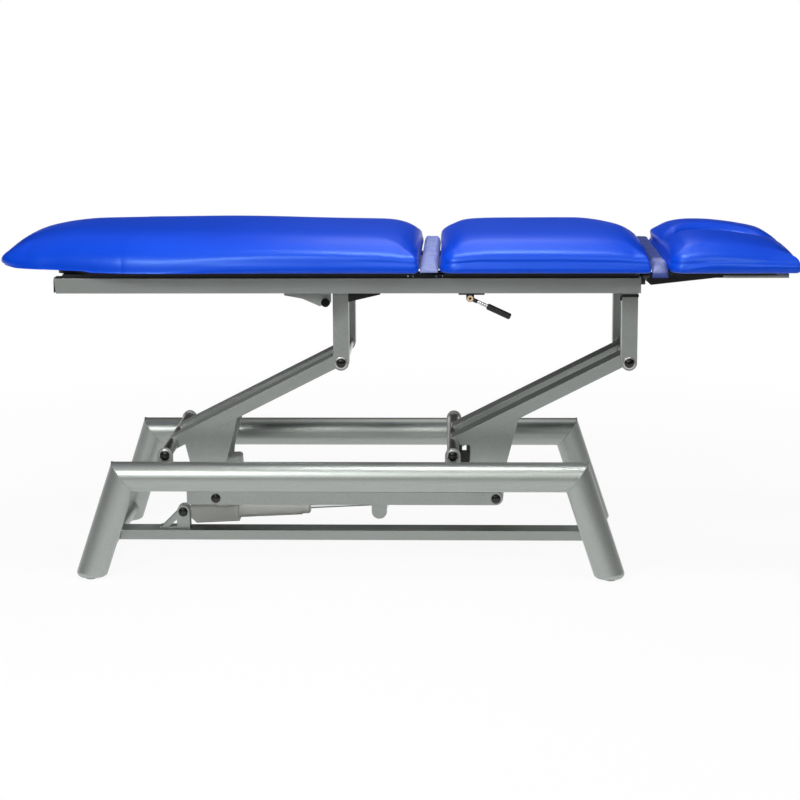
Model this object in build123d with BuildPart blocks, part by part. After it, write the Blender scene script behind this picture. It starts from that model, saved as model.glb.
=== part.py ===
from build123d import *
from math import cos, hypot, radians, sin, tan
import os

os.makedirs("parts", exist_ok=True)

# Rehabilitation table, millimetres, +Z up, length along X (head end at +X), near side at -Y.
# Heights and lengths build on one another, so a changed size carries what stands on it.

# Fits and walls
running_gap = 0.05          # radial, shaft in a turning hole
side_gap = 0.5              # beside a turning part
soft_gap = 0.3              # between a soft solid and its neighbour
drive_gap = 6.0             # radial, open front pivot of the actuator
tube_wall = 3.0
plate_thick = 8.0

# Base frame
base_middle_x = -127.5
rail_radius = 38.05
rail_spread = 286.4         # rail axis to middle plane
rail_height = 263.6
corner_half = 578.7         # middle of the base to a mitred corner
leg_lean = 18.35            # degrees outwards along X
leg_splay = 3.65            # degrees outwards along Y
pad_height = 6.0
pad_radius = 15.0
pad_chamfer = 1.5
foot_round = 12.0
foot_floor = 6.0
cross_height = 45.0
cross_radius = 21.2
bar_width = 66.0
bar_height = 26.0

# Lift linkage
pivot_inset = 104.7         # left lower pivot from the left corner of the base
pivot_spacing = 737.0
pivot_clear = 8.85          # lower pivots above the top of the rails
arm_rise = 228.5            # height between the two pivots of an arm
arm_run = 450.0
arm_width = 70.0
arm_height = 32.0
arm_inner = 39.0            # inner side of an arm tube to middle plane
journal_radius = 10.0
lug_radius = 20.0
lug_stand = 6.35            # lug plate inside the inner side of the rail
lug_sink = 8.6              # foot of the lug below the rail axis
cap_radius = 12.5
cap_height = 7.0
cap_round = 4.5
lever_run = 112.0           # tie pin from the lower pivot
lever_drop = 144.0
lever_pin_radius = 8.0
lever_boss = 19.0
lever_top_left = (33.5, -0.5)
lever_top_right = (171.0, 69.5)
lever_knee_left = (44.5, -47.5)
lever_knee_right = (140.5, -47.5)
lever_inset = 1.0           # lever plate below the side face of the arm tube
tie_height = 34.0
tie_tail = 76.5
tie_gap = 1.0

# Actuator, with distances along it from its rear pin
rear_pin_run = 11.0         # rear pin from the left lower pivot
rear_pin_rise = 46.5        # rear pin above the lower bar
rear_pin_radius = 8.0
front_pin_run = 430.5       # front pin from the left tie pin
front_pin_drop = 36.5
front_pin_radius = 10.0
rod_radius = 10.0
rod_inside = 272.0          # rear end of the rod
rear_eye_radius = 15.0
rear_eye_half = 11.0
bracket_thick = 6.0
bracket_half = 17.5
brace_width = 12.0
brace_reach = 52.0
brace_top = 6.0
body_start = 20.0
body_end = 151.0
body_below = 31.0
body_above = 15.0
body_half = 27.0
body_round = 7.0
motor_start = 90.0
motor_end = 168.0
motor_top = 150.0
motor_half = 31.0
motor_round = 13.0
sleeve_end = 319.0
sleeve_radius = 25.0
collar_end = 343.0
collar_radius = 22.5
collar_lip = 8.0
front_eye_wall = 7.0
front_eye_half = 15.0
drive_lug_half = 20.0

# Top frame
column_rise = 191.0         # underside of the beams above the upper pivots
column_half = 20.0
column_spread = 162.0
column_block = 23.0         # solid metal above the pivot, below the hollow tube
beam_length = 1476.0
beam_over = 0.5             # beam ends past the right columns
beam_slant = 5.0
beam_width = 40.0
beam_height = 38.0
beam_inner = 220.0
member_width = 40.0
end_member_inset = 30.0
ear_thick = 6.0
ear_inset = 2.0
ear_reach = 8.0
ear_drop = 26.0
hinge_rise = 6.0            # hinge lines above the beams
long_hinge_inset = 544.0    # from the right ends of the beams
head_hinge_reach = 12.0     # past the right ends of the beams
long_pin_radius = 4.0
head_pin_radius = 5.0
knuckle_radius = 5.4
knuckle_width = 18.0
knuckle_inset = 15.0        # middle knuckle inside the beams
knuckle_drop = 3.0
gusset_length = 188.0
gusset_knee = 12.0
gusset_drop = 24.0
gusset_tip_drop = 3.0
gusset_ring = 7.5
bracket_length = 119.0
bracket_edge = 9.0
bracket_inset = 6.0         # inside the inner side of the beam's wall
bracket_knee_run = 74.0
bracket_knee_drop = 17.0
bracket_foot_run = 28.0
bracket_foot_drop = 37.0
bracket_pin_run = 14.0
bracket_pin_drop = 26.0
bracket_pin_radius = 12.0
triangle_run = 82.0
triangle_drop = 33.0
triangle_lip = 14.0

# Section panels
panel_rise = 4.0            # boards above the hinge lines
panel_thick = 11.7
panel_inset = 40.0          # boards inside the sides of the cushions
panel_radius = 25.0
runner_half = 15.0
rest_gap = 0.5              # raised sections above the beams
long_panel_inset = 122.0
long_panel_back = 9.0
long_runner_inset = 22.0
centre_panel_start = 11.0
centre_panel_back = 27.0
head_panel_inset = 38.0
head_runner_start = 22.0
head_runner_over = 25.0     # past the board, below the end of the head cushion
hole_half_x = 112.0
hole_half_y = 70.0
hole_run = 158.0            # middle of the face hole from the left end of the head section

# Cushions
cushion_half = 325.0
cushion_height = 75.0
cushion_crown = 5.0         # lower at the long edges than in the middle
cushion_corner = 47.0
corner_spare = 6.0          # plan corners wider than the rounding along the top
cushion_drawn = 7.0         # underside rounding where the cover is pulled under
long_length = 1042.0
long_back = 7.0             # long cushion short of its hinge line
taper_length = 297.0
taper_half = 233.0
taper_round = 180.0
centre_start = 37.0
centre_over = 11.0
head_split = 39.0
head_length = 318.0
head_corner = 70.0
head_fall = 17.0
hole_lip = 12.0
cover_inset = 9.0
cover_rise = 13.0
cover_thick = 4.0

# Release lever
lever_start = 117.0         # from the hinge line of the long section
lever_hang = 14.0           # below the beam
lever_out = 9.0             # outside the middle of the beam
release_drop = 25.0         # degrees below horizontal
release_rod_radius = 4.5
release_rod_length = 62.0
release_reach = 47.0        # hub to the start of the grip
release_pin_radius = 5.0
hub_radius = 9.0
hub_width = 10.0
grip_radius = 8.0
grip_length = 65.0
grip_round = 4.0
pad_plate = 4.0
pad_before = 29.0
pad_after = 36.0
hanger_thick = 6.0
hanger_radius = 10.0

SIDES = (("near", -1), ("far", 1))
ENDS = (("left", -1), ("right", 1))

# Places that follow from the sizes: base and linkage
left_pivot_x = base_middle_x - corner_half + pivot_inset
right_pivot_x = left_pivot_x + pivot_spacing
left_top_x = left_pivot_x + arm_run
right_top_x = right_pivot_x + arm_run
pivot_height = rail_height + rail_radius + pivot_clear
upper_height = pivot_height + arm_rise
tie_z = pivot_height - lever_drop
tie_left_x = left_pivot_x + lever_run
tie_right_x = right_pivot_x + lever_run
axle_radius = arm_height / 2
arm_length = hypot(arm_run, arm_rise)
arm_direction = (arm_run / arm_length, 0, arm_rise / arm_length)
arm_outer = arm_inner + arm_width
lever_outer = arm_outer - lever_inset
tie_inner = arm_outer + tie_gap
lug_inner = rail_spread - rail_radius - lug_stand
lug_outer = lug_inner + plate_thick
lug_foot = rail_height - lug_sink
bar_top = cross_height + bar_height / 2
rear_pin_x = left_pivot_x + rear_pin_run
rear_pin_z = bar_top + rear_pin_rise
front_pin_x = tie_left_x + front_pin_run
front_pin_z = tie_z - front_pin_drop
actuator_length = hypot(front_pin_x - rear_pin_x, front_pin_z - rear_pin_z)
actuator_direction = ((front_pin_x - rear_pin_x) / actuator_length, 0,
                      (front_pin_z - rear_pin_z) / actuator_length)

# Places on the top frame
column_inner = column_spread - column_half
column_outer = column_spread + column_half
beam_bottom = upper_height + column_rise
beam_top = beam_bottom + beam_height
beam_right = right_top_x + column_half + beam_over
beam_left = beam_right - beam_length
end_member_x = beam_left + end_member_inset
ear_inner = beam_inner + ear_inset
hinge_height = beam_top + hinge_rise
long_hinge_x = beam_right - long_hinge_inset
head_hinge_x = beam_right + head_hinge_reach
knuckle_middle = beam_inner - knuckle_inset
knuckle_floor = hinge_height - knuckle_drop
gusset_inner = ear_inner - side_gap * 2 - plate_thick
gusset_end_x = head_hinge_x + gusset_length
gusset_knee_x = head_hinge_x + gusset_knee
gusset_knee_z = hinge_height - gusset_drop
gusset_tip_z = hinge_height - gusset_tip_drop
bracket_right_x = left_top_x - column_half - side_gap
bracket_left_x = bracket_right_x - bracket_length
bracket_knee = (bracket_right_x - bracket_knee_run, beam_bottom - bracket_knee_drop)
bracket_foot = (bracket_right_x - bracket_foot_run, beam_bottom - bracket_foot_drop)
bracket_pin = (bracket_right_x - bracket_pin_run, beam_bottom - bracket_pin_drop)
bracket_edge_z = beam_bottom - bracket_edge
bracket_inner = beam_inner + bracket_inset
lever_x = long_hinge_x + lever_start
lever_z = beam_bottom - lever_hang
lever_plane = beam_inner + beam_width / 2 + lever_out
pad_left_x = lever_x - pad_before
pad_right_x = lever_x + pad_after

# Places of the boards and cushions
panel_bottom = hinge_height + panel_rise
panel_top = panel_bottom + panel_thick
panel_half = cushion_half - panel_inset
cushion_bottom = panel_top + soft_gap
cushion_top = cushion_bottom + cushion_height
cushion_round = cushion_corner - corner_spare
long_right = long_hinge_x - long_back
long_left = long_right - long_length
taper_x = long_left + taper_length
centre_left = long_hinge_x + centre_start
centre_right = head_hinge_x + centre_over
head_left = centre_right + head_split
head_right = head_left + head_length
hole_x = head_left + hole_run
long_panel_left = long_left + long_panel_inset
long_panel_right = long_right - long_panel_back
long_runner_left = beam_left + long_runner_inset
centre_panel_left = centre_left + centre_panel_start
centre_panel_right = centre_right - centre_panel_back
head_panel_left = head_left
head_panel_right = head_right - head_panel_inset
head_runner_left = head_panel_left + head_runner_start
head_runner_right = head_panel_right + head_runner_over
runner_middle = beam_inner + beam_width / 2
cover_half = cushion_half - cover_inset
cover_foot = cushion_bottom + cushion_drawn + soft_gap


def facing(y_first, y_second):
    """Plane with x = +X and y = +Z for a plate that lies between two distances along Y."""
    return Plane(origin=(0, max(y_first, y_second), 0), x_dir=(1, 0, 0), z_dir=(0, -1, 0))


def tilted(x, y, z, direction):
    """Plane with its x along a tilted part and its y upwards."""
    return Plane(origin=(x, y, z), x_dir=direction, z_dir=(0, -1, 0))


def cylinder_y(x, z, radius, y_first, y_second, mode=Mode.ADD):
    """Round bar along Y between two distances, in the part being built."""
    with BuildSketch(facing(y_first, y_second)) as disc:
        with Locations((x, z)):
            Circle(radius)
    extrude(disc.sketch, amount=abs(y_second - y_first), mode=mode)


def plate_y(points, y_first, y_second, mode=Mode.ADD):
    """Flat plate with an outline of x, z points between two distances along Y."""
    with BuildSketch(facing(y_first, y_second)) as outline:
        Polygon(*points, align=None)
    extrude(outline.sketch, amount=abs(y_second - y_first), mode=mode)


def corner(e, s):
    return Vector(base_middle_x + e * corner_half, s * rail_spread, rail_height)


def leg_direction(e, s):
    return Vector(e * tan(radians(leg_lean)), s * tan(radians(leg_splay)), -1).normalized()


def leg_point(e, s, height):
    return corner(e, s) + leg_direction(e, s) * ((rail_height - height) / -leg_direction(e, s).Z)


def mitre_plane(e, s):
    """Plane between a rail and its leg, with the rail on the positive side."""
    return Plane(origin=corner(e, s), z_dir=Vector(-e, 0, 0) - leg_direction(e, s))


def leg_cylinder(e, s, radius, mode):
    with BuildSketch(Plane(origin=corner(e, s), z_dir=leg_direction(e, s))) as section:
        Circle(radius)
    extrude(section.sketch, amount=rail_height / -leg_direction(e, s).Z, mode=mode)


def finish(build, name):
    build.part.label = name
    export_step(build.part, "parts/" + name + ".step")


# Base frame
for side, s in SIDES:
    with BuildPart() as base_rail:
        rail_start = (base_middle_x - corner_half - rail_radius, s * rail_spread, rail_height)
        with BuildSketch(Plane(origin=rail_start, z_dir=(1, 0, 0))):
            Circle(rail_radius)
            Circle(rail_radius - tube_wall, mode=Mode.SUBTRACT)
        extrude(amount=(corner_half + rail_radius) * 2)
        for end, e in ENDS:
            split(bisect_by=mitre_plane(e, s), keep=Keep.TOP)
        for pivot_x in (left_pivot_x, right_pivot_x):
            with BuildSketch(facing(s * lug_inner, s * lug_outer)):
                with Locations((pivot_x, pivot_height)):
                    Circle(lug_radius)
                with Locations((pivot_x, (pivot_height + lug_foot) / 2)):
                    Rectangle(lug_radius * 2, pivot_height - lug_foot)
            extrude(amount=plate_thick)
            cylinder_y(pivot_x, pivot_height, journal_radius + running_gap,
                       s * lug_inner, s * lug_outer, Mode.SUBTRACT)
    finish(base_rail, "base_rail_" + side)

for side, s in SIDES:
    for end, e in ENDS:
        with BuildPart() as leg:
            leg_top = corner(e, s) - leg_direction(e, s) * rail_radius
            with BuildSketch(Plane(origin=leg_top, z_dir=leg_direction(e, s))):
                Circle(rail_radius)
            extrude(amount=(rail_height + rail_radius * 2) / -leg_direction(e, s).Z)
            split(bisect_by=Plane.XY.offset(pad_height), keep=Keep.TOP)
            fillet(leg.faces().sort_by(Axis.Z)[0].edges(), foot_round)
            bore_length = ((rail_height - pad_height - foot_floor) / -leg_direction(e, s).Z
                           - rail_radius * tan(radians(leg_lean)))
            with BuildSketch(Plane(origin=leg_top, z_dir=leg_direction(e, s))):
                Circle(rail_radius - tube_wall)
            extrude(amount=bore_length + rail_radius, mode=Mode.SUBTRACT)
            split(bisect_by=mitre_plane(e, s), keep=Keep.BOTTOM)
        finish(leg, "leg_" + side + "_" + end)

        with BuildPart() as foot_pad:
            foot = leg_point(e, s, pad_height)
            with BuildSketch(Plane(origin=(foot.X, foot.Y, 0))):
                Circle(pad_radius)
            extrude(amount=pad_height)
            chamfer(foot_pad.faces().sort_by(Axis.Z)[0].edges(), pad_chamfer)
        finish(foot_pad, "foot_pad_" + side + "_" + end)

for end, e in ENDS:
    with BuildPart() as cross_tube:
        near_end = leg_point(e, -1, cross_height)
        far_end = leg_point(e, 1, cross_height)
        with BuildSketch(Plane(origin=near_end, z_dir=(0, 1, 0))):
            Circle(cross_radius)
            Circle(cross_radius - tube_wall, mode=Mode.SUBTRACT)
        extrude(amount=far_end.Y - near_end.Y)
        for side, s in SIDES:
            leg_cylinder(e, s, rail_radius, Mode.SUBTRACT)
    finish(cross_tube, "cross_tube_" + end)

with BuildPart() as lower_bar:
    bar_start = leg_point(-1, 1, cross_height).X
    bar_end = leg_point(1, 1, cross_height).X
    with BuildSketch(Plane(origin=(bar_start, 0, cross_height), x_dir=(0, 1, 0), z_dir=(1, 0, 0))):
        Rectangle(bar_width, bar_height)
        Rectangle(bar_width - tube_wall * 2, bar_height - tube_wall * 2, mode=Mode.SUBTRACT)
    extrude(amount=bar_end - bar_start)
    for tube_x in (bar_start, bar_end):
        cylinder_y(tube_x, cross_height, cross_radius, -bar_width, bar_width, Mode.SUBTRACT)
finish(lower_bar, "lower_bar")

with BuildPart() as actuator_bracket:
    fork_inner = rear_eye_half + side_gap
    fork_outer = fork_inner + bracket_thick
    brace_foot_x = rear_pin_x - brace_reach
    for side, s in SIDES:
        with BuildSketch(facing(s * fork_inner, s * fork_outer)):
            with Locations((rear_pin_x, rear_pin_z)):
                Circle(bracket_half)
            with Locations((rear_pin_x, (rear_pin_z + bar_top) / 2)):
                Rectangle(bracket_half * 2, rear_pin_z - bar_top)
            Polygon((rear_pin_x - brace_top, rear_pin_z + brace_width),
                    (brace_foot_x - brace_width, bar_top),
                    (brace_foot_x + brace_width / 2, bar_top),
                    (rear_pin_x, rear_pin_z - brace_top), align=None)
        extrude(amount=bracket_thick)
    with BuildSketch(Plane.XY.offset(bar_top)):
        with Locations(((brace_foot_x - brace_width + rear_pin_x + bracket_half) / 2, 0)):
            Rectangle(brace_reach + brace_width + bracket_half, fork_outer * 2)
    extrude(amount=bracket_thick)
    cylinder_y(rear_pin_x, rear_pin_z, rear_pin_radius, -fork_outer, fork_outer, Mode.SUBTRACT)
finish(actuator_bracket, "actuator_bracket")

with BuildPart() as actuator_pin:
    cylinder_y(rear_pin_x, rear_pin_z, rear_pin_radius, -fork_outer, fork_outer)
    for side, s in SIDES:
        cylinder_y(rear_pin_x, rear_pin_z, cap_radius, s * fork_outer,
                   s * (fork_outer + cap_height))
    fillet(actuator_pin.edges().filter_by(GeomType.CIRCLE).sort_by(Axis.Y)[0], cap_round)
    fillet(actuator_pin.edges().filter_by(GeomType.CIRCLE).sort_by(Axis.Y)[-1], cap_round)
finish(actuator_pin, "actuator_pin")

# Lift arms
for end, e in ENDS:
    pivot_x = left_pivot_x if e < 0 else right_pivot_x
    top_x = pivot_x + arm_run

    for side, s in SIDES:
        with BuildPart() as arm_tube:
            with BuildSketch(Plane(origin=(pivot_x, s * (arm_inner + arm_width / 2), pivot_height),
                                   x_dir=(0, 1, 0), z_dir=arm_direction)):
                Rectangle(arm_width, arm_height)
                Rectangle(arm_width - tube_wall * 2, arm_height - tube_wall * 2,
                          mode=Mode.SUBTRACT)
            extrude(amount=arm_length)
            cylinder_y(pivot_x, pivot_height, axle_radius, s * arm_inner, s * arm_outer,
                       Mode.SUBTRACT)
            cylinder_y(top_x, upper_height, axle_radius, s * arm_inner, s * arm_outer,
                       Mode.SUBTRACT)
        finish(arm_tube, "arm_tube_" + end + "_" + side)

        with BuildPart() as lever_plate:
            y_in = s * (lever_outer - plate_thick)
            y_out = s * lever_outer
            with BuildSketch(facing(y_in, y_out)):
                Polygon((pivot_x + lever_top_left[0], pivot_height + lever_top_left[1]),
                        (pivot_x + lever_knee_left[0], pivot_height + lever_knee_left[1]),
                        (pivot_x + lever_run - lever_boss, tie_z),
                        (pivot_x + lever_run + lever_boss, tie_z),
                        (pivot_x + lever_knee_right[0], pivot_height + lever_knee_right[1]),
                        (pivot_x + lever_top_right[0], pivot_height + lever_top_right[1]),
                        align=None)
                with Locations((pivot_x + lever_run, tie_z)):
                    Circle(lever_boss)
            extrude(amount=plate_thick)
            with BuildSketch(tilted(pivot_x, max(y_in, y_out), pivot_height, arm_direction)):
                with Locations((arm_length / 2, 0)):
                    Rectangle(arm_length, arm_height)
            extrude(amount=plate_thick, mode=Mode.SUBTRACT)
            cylinder_y(pivot_x + lever_run, tie_z, lever_pin_radius, y_in,
                       s * (tie_inner + plate_thick))
        finish(lever_plate, "lever_plate_" + end + "_" + side)

    with BuildPart() as lower_axle:
        journal_start = lug_inner - side_gap
        cylinder_y(pivot_x, pivot_height, axle_radius, -journal_start, journal_start)
        cylinder_y(pivot_x, pivot_height, journal_radius, -lug_outer - side_gap,
                   lug_outer + side_gap)
    finish(lower_axle, "axle_lower_" + end)

    with BuildPart() as upper_axle:
        journal_start = column_inner - side_gap
        cylinder_y(top_x, upper_height, axle_radius, -journal_start, journal_start)
        cylinder_y(top_x, upper_height, journal_radius, -column_outer - side_gap,
                   column_outer + side_gap)
    finish(upper_axle, "axle_upper_" + end)

    with BuildPart() as pivot_caps:
        for side, s in SIDES:
            for cap_x, cap_z, cap_y in ((pivot_x, pivot_height, lug_outer + side_gap),
                                        (top_x, upper_height, column_outer + side_gap),
                                        (pivot_x + lever_run, tie_z, tie_inner + plate_thick)):
                cylinder_y(cap_x, cap_z, cap_radius, s * cap_y, s * (cap_y + cap_height))
        outer_faces = [solid.faces().filter_by(Axis.Y).sort_by(lambda face: abs(face.center().Y))[-1]
                       for solid in pivot_caps.solids()]
        outer_rims = [face.edges()[0] for face in outer_faces]
        fillet(outer_rims, cap_round)
    finish(pivot_caps, "pivot_caps_" + end)

# Tie bars and drive
for side, s in SIDES:
    with BuildPart() as tie_bar:
        y_in = s * tie_inner
        y_out = s * (tie_inner + plate_thick)
        with BuildSketch(facing(y_in, y_out)):
            with Locations(((tie_left_x - tie_tail + tie_right_x) / 2, tie_z)):
                Rectangle(tie_right_x - tie_left_x + tie_tail, tie_height)
            with Locations((tie_right_x, tie_z)):
                Circle(tie_height / 2)
            with Locations((tie_left_x, tie_z), (tie_right_x, tie_z)):
                Circle(lever_pin_radius + running_gap, mode=Mode.SUBTRACT)
        extrude(amount=plate_thick)
    finish(tie_bar, "tie_bar_" + side)

with BuildPart() as drive_shaft:
    cylinder_y(front_pin_x, front_pin_z, front_pin_radius, -tie_inner, tie_inner)
    for side, s in SIDES:
        with BuildSketch(facing(s * (tie_inner - plate_thick), s * tie_inner)):
            with Locations((front_pin_x, front_pin_z)):
                Circle(drive_lug_half)
            with Locations((front_pin_x, (front_pin_z + tie_z) / 2)):
                Rectangle(drive_lug_half * 2, tie_z - front_pin_z)
        extrude(amount=plate_thick)
finish(drive_shaft, "drive_shaft")

# Actuator
with BuildPart() as actuator_body:
    with BuildSketch(tilted(rear_pin_x, body_half, rear_pin_z, actuator_direction)):
        Polygon((body_start, -body_above), (body_start + body_above, -body_below),
                (body_end, -body_below), (body_end, body_above), (body_start, body_above),
                align=None)
    extrude(amount=body_half * 2)
    long_edges = actuator_body.edges().filter_by(
        lambda edge: abs(edge.tangent_at(0).Y) < abs(edge.tangent_at(0).X))
    fillet(long_edges, body_round)
    with BuildSketch(facing(-rear_eye_half, rear_eye_half)):
        with Locations((rear_pin_x, rear_pin_z)):
            Circle(rear_eye_radius)
    extrude(amount=rear_eye_half * 2)
    with BuildSketch(tilted(rear_pin_x, rear_eye_half, rear_pin_z, actuator_direction)):
        with Locations((body_start / 2 + body_round / 2, 0)):
            Rectangle(body_start + body_round, rear_eye_radius)
    extrude(amount=rear_eye_half * 2)
    cylinder_y(rear_pin_x, rear_pin_z, rear_pin_radius + running_gap, -rear_eye_half,
               rear_eye_half, Mode.SUBTRACT)
finish(actuator_body, "actuator_body")

with BuildPart() as actuator_motor:
    with BuildSketch(tilted(rear_pin_x, motor_half, rear_pin_z, actuator_direction)):
        with Locations(((motor_start + body_end) / 2, (body_above + motor_top) / 2)):
            Rectangle(body_end - motor_start, motor_top - body_above)
        with Locations(((body_end + motor_end) / 2, (sleeve_radius + side_gap + motor_top) / 2)):
            Rectangle(motor_end - body_end, motor_top - sleeve_radius - side_gap)
    extrude(amount=motor_half * 2)
    crown_edges = actuator_motor.faces().sort_by(Axis.Z)[-1].edges()
    tall_edges = actuator_motor.edges().filter_by(
        lambda edge: abs(edge.tangent_at(0).Z) > abs(edge.tangent_at(0).X) + abs(edge.tangent_at(0).Y)
        and edge.length > motor_top - sleeve_radius - motor_round)
    fillet(tall_edges, motor_round)
    fillet(actuator_motor.faces().sort_by(Axis.Z)[-1].edges(), body_round)
finish(actuator_motor, "actuator_motor")

with BuildPart() as actuator_sleeve:
    sleeve_origin = Vector(rear_pin_x, 0, rear_pin_z) + Vector(*actuator_direction) * body_end
    with BuildSketch(Plane(origin=sleeve_origin, z_dir=actuator_direction)):
        Circle(sleeve_radius)
    extrude(amount=sleeve_end - body_end)
    with BuildSketch(Plane(origin=sleeve_origin, z_dir=actuator_direction).offset(sleeve_end - body_end)):
        Circle(collar_radius)
    extrude(amount=collar_end - sleeve_end)
    fillet(actuator_sleeve.faces().sort_by(Axis.X)[-1].edges(), collar_lip)
    with BuildSketch(Plane(origin=sleeve_origin, z_dir=actuator_direction)):
        Circle(rod_radius + running_gap)
    extrude(amount=collar_end - body_end, mode=Mode.SUBTRACT)
finish(actuator_sleeve, "actuator_sleeve")

with BuildPart() as actuator_rod:
    rod_start = Vector(rear_pin_x, 0, rear_pin_z) + Vector(*actuator_direction) * rod_inside
    front_hole = front_pin_radius + drive_gap
    with BuildSketch(Plane(origin=rod_start, z_dir=actuator_direction)):
        Circle(rod_radius)
    extrude(amount=actuator_length - rod_inside - front_hole)
    cylinder_y(front_pin_x, front_pin_z, front_hole + front_eye_wall, -front_eye_half,
               front_eye_half)
    cylinder_y(front_pin_x, front_pin_z, front_hole, -front_eye_half, front_eye_half,
               Mode.SUBTRACT)
finish(actuator_rod, "actuator_rod")

# Top frame
for side, s in SIDES:
    with BuildPart() as beam:
        y_in = s * beam_inner
        y_out = s * (beam_inner + beam_width)
        plate_y(((beam_left, beam_top), (beam_left + beam_slant, beam_bottom),
                 (beam_right, beam_bottom), (beam_right, beam_top)), y_in, y_out)
        with BuildSketch(Plane(origin=(beam_left, (y_in + y_out) / 2, beam_bottom + beam_height / 2),
                               x_dir=(0, 1, 0), z_dir=(1, 0, 0))):
            Rectangle(beam_width - tube_wall * 2, beam_height - tube_wall * 2)
        extrude(amount=beam_right - beam_left, mode=Mode.SUBTRACT)
        with BuildSketch(facing(s * ear_inner, s * (ear_inner + ear_thick))):
            Polygon((beam_right - ear_thick, hinge_height - ear_drop),
                    (beam_right + ear_thick, hinge_height - ear_drop),
                    (head_hinge_x + ear_reach, hinge_height - ear_reach),
                    (head_hinge_x + ear_reach, hinge_height),
                    (head_hinge_x, hinge_height + ear_reach), (beam_right, hinge_height),
                    (beam_right - ear_thick, beam_top), align=None)
            with Locations((head_hinge_x, hinge_height)):
                Circle(ear_reach)
                Circle(head_pin_radius + running_gap, mode=Mode.SUBTRACT)
        extrude(amount=ear_thick)
    finish(beam, "beam_" + side)

    for end, e in ENDS:
        column_x = left_top_x if e < 0 else right_top_x
        with BuildPart() as column:
            y_in = s * column_inner
            y_out = s * column_outer
            with BuildSketch(facing(y_in, y_out)):
                with Locations((column_x, upper_height)):
                    Circle(column_half)
                with Locations((column_x, (upper_height + beam_bottom) / 2)):
                    Rectangle(column_half * 2, beam_bottom - upper_height)
            extrude(amount=column_half * 2)
            with BuildSketch(Plane(origin=(column_x, s * column_spread, beam_bottom), z_dir=(0, 0, -1))):
                Rectangle((column_half - tube_wall) * 2, (column_half - tube_wall) * 2)
            extrude(amount=beam_bottom - upper_height - column_block, mode=Mode.SUBTRACT)
            cylinder_y(column_x, upper_height, journal_radius + running_gap, y_in, y_out,
                       Mode.SUBTRACT)
        finish(column, "column_" + side + "_" + end)

for member_name, member_x in (("left", left_top_x), ("right", right_top_x),
                              ("end", end_member_x)):
    with BuildPart() as cross_member:
        with BuildSketch(facing(-beam_inner, beam_inner)):
            with Locations((member_x, beam_bottom + beam_height / 2)):
                Rectangle(member_width, beam_height)
                Rectangle(member_width - tube_wall * 2, beam_height - tube_wall * 2,
                          mode=Mode.SUBTRACT)
        extrude(amount=beam_inner * 2)
    finish(cross_member, "cross_member_" + member_name)

with BuildPart() as section_bracket:
    bracket_outer = bracket_inner + bracket_thick
    with BuildSketch(facing(-bracket_outer, -bracket_inner)):
        Polygon((bracket_left_x, beam_bottom), (bracket_left_x, bracket_edge_z), bracket_knee,
                bracket_foot, bracket_pin, (bracket_right_x, bracket_pin[1]),
                (bracket_right_x, beam_bottom), align=None)
        with Locations(bracket_pin):
            Circle(bracket_pin_radius)
    extrude(amount=bracket_thick)
    cylinder_y(bracket_pin[0], bracket_pin[1], lever_pin_radius, -bracket_outer - plate_thick,
               -bracket_inner)
finish(section_bracket, "section_bracket")

with BuildPart() as corner_gusset:
    gusset_x = left_top_x + column_half
    plate_y(((gusset_x, beam_bottom), (gusset_x, beam_bottom - triangle_drop),
             (gusset_x + triangle_run, beam_bottom - triangle_lip),
             (gusset_x + triangle_run, beam_bottom)), -column_outer, -column_outer + bracket_thick)
finish(corner_gusset, "corner_gusset")

with BuildPart() as lever_hanger:
    with BuildSketch(Plane.XY.offset(beam_bottom - pad_plate)):
        with Locations(((pad_left_x + pad_right_x) / 2, -beam_inner - beam_width / 2)):
            Rectangle(pad_right_x - pad_left_x, beam_width)
    extrude(amount=pad_plate)
    hanger_outer = lever_plane - hub_width / 2 - side_gap
    with BuildSketch(facing(-hanger_outer, hanger_thick - hanger_outer)):
        with Locations((lever_x, lever_z)):
            Circle(hanger_radius)
        with Locations((lever_x, (lever_z + beam_bottom - pad_plate) / 2)):
            Rectangle(hanger_radius * 2, beam_bottom - pad_plate - lever_z)
        with Locations((lever_x, lever_z)):
            Circle(release_pin_radius + running_gap, mode=Mode.SUBTRACT)
    extrude(amount=hanger_thick)
finish(lever_hanger, "lever_hanger")

# Release lever
release_direction = (cos(radians(release_drop)), 0, -sin(radians(release_drop)))
release_hub = Vector(lever_x, -lever_plane, lever_z)
with BuildPart() as release_rod:
    cylinder_y(lever_x, lever_z, hub_radius, -lever_plane - hub_width / 2,
               -lever_plane + hub_width / 2)
    cylinder_y(lever_x, lever_z, release_pin_radius, -lever_plane,
               hanger_thick - hanger_outer + side_gap)
    with BuildSketch(Plane(origin=release_hub, z_dir=release_direction)):
        Circle(release_rod_radius)
    extrude(amount=release_rod_length)
finish(release_rod, "release_rod")

with BuildPart() as release_grip:
    grip_origin = release_hub + Vector(*release_direction) * release_reach
    with BuildSketch(Plane(origin=grip_origin, z_dir=release_direction)):
        Circle(grip_radius)
    extrude(amount=grip_length)
    fillet(release_grip.edges(), grip_round)
    with BuildSketch(Plane(origin=grip_origin, z_dir=release_direction)):
        Circle(release_rod_radius)
    extrude(amount=release_rod_length - release_reach, mode=Mode.SUBTRACT)
finish(release_grip, "release_grip")


# Section panels
def panel_board(points, radius):
    """Board of one section in the part being built, from its plan outline."""
    with BuildSketch(Plane.XY.offset(panel_bottom)) as plan:
        Polygon(*points, align=None)
        fillet(plan.vertices(), radius)
    extrude(plan.sketch, amount=panel_top - panel_bottom)


def runners(x_first, x_second, floor):
    """The two long strips under a board that lie over the beams."""
    with BuildSketch(Plane.XY.offset(floor)) as strips:
        with Locations(((x_first + x_second) / 2, -runner_middle),
                       ((x_first + x_second) / 2, runner_middle)):
            Rectangle(x_second - x_first, runner_half * 2)
    extrude(strips.sketch, amount=panel_bottom - floor)


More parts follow.
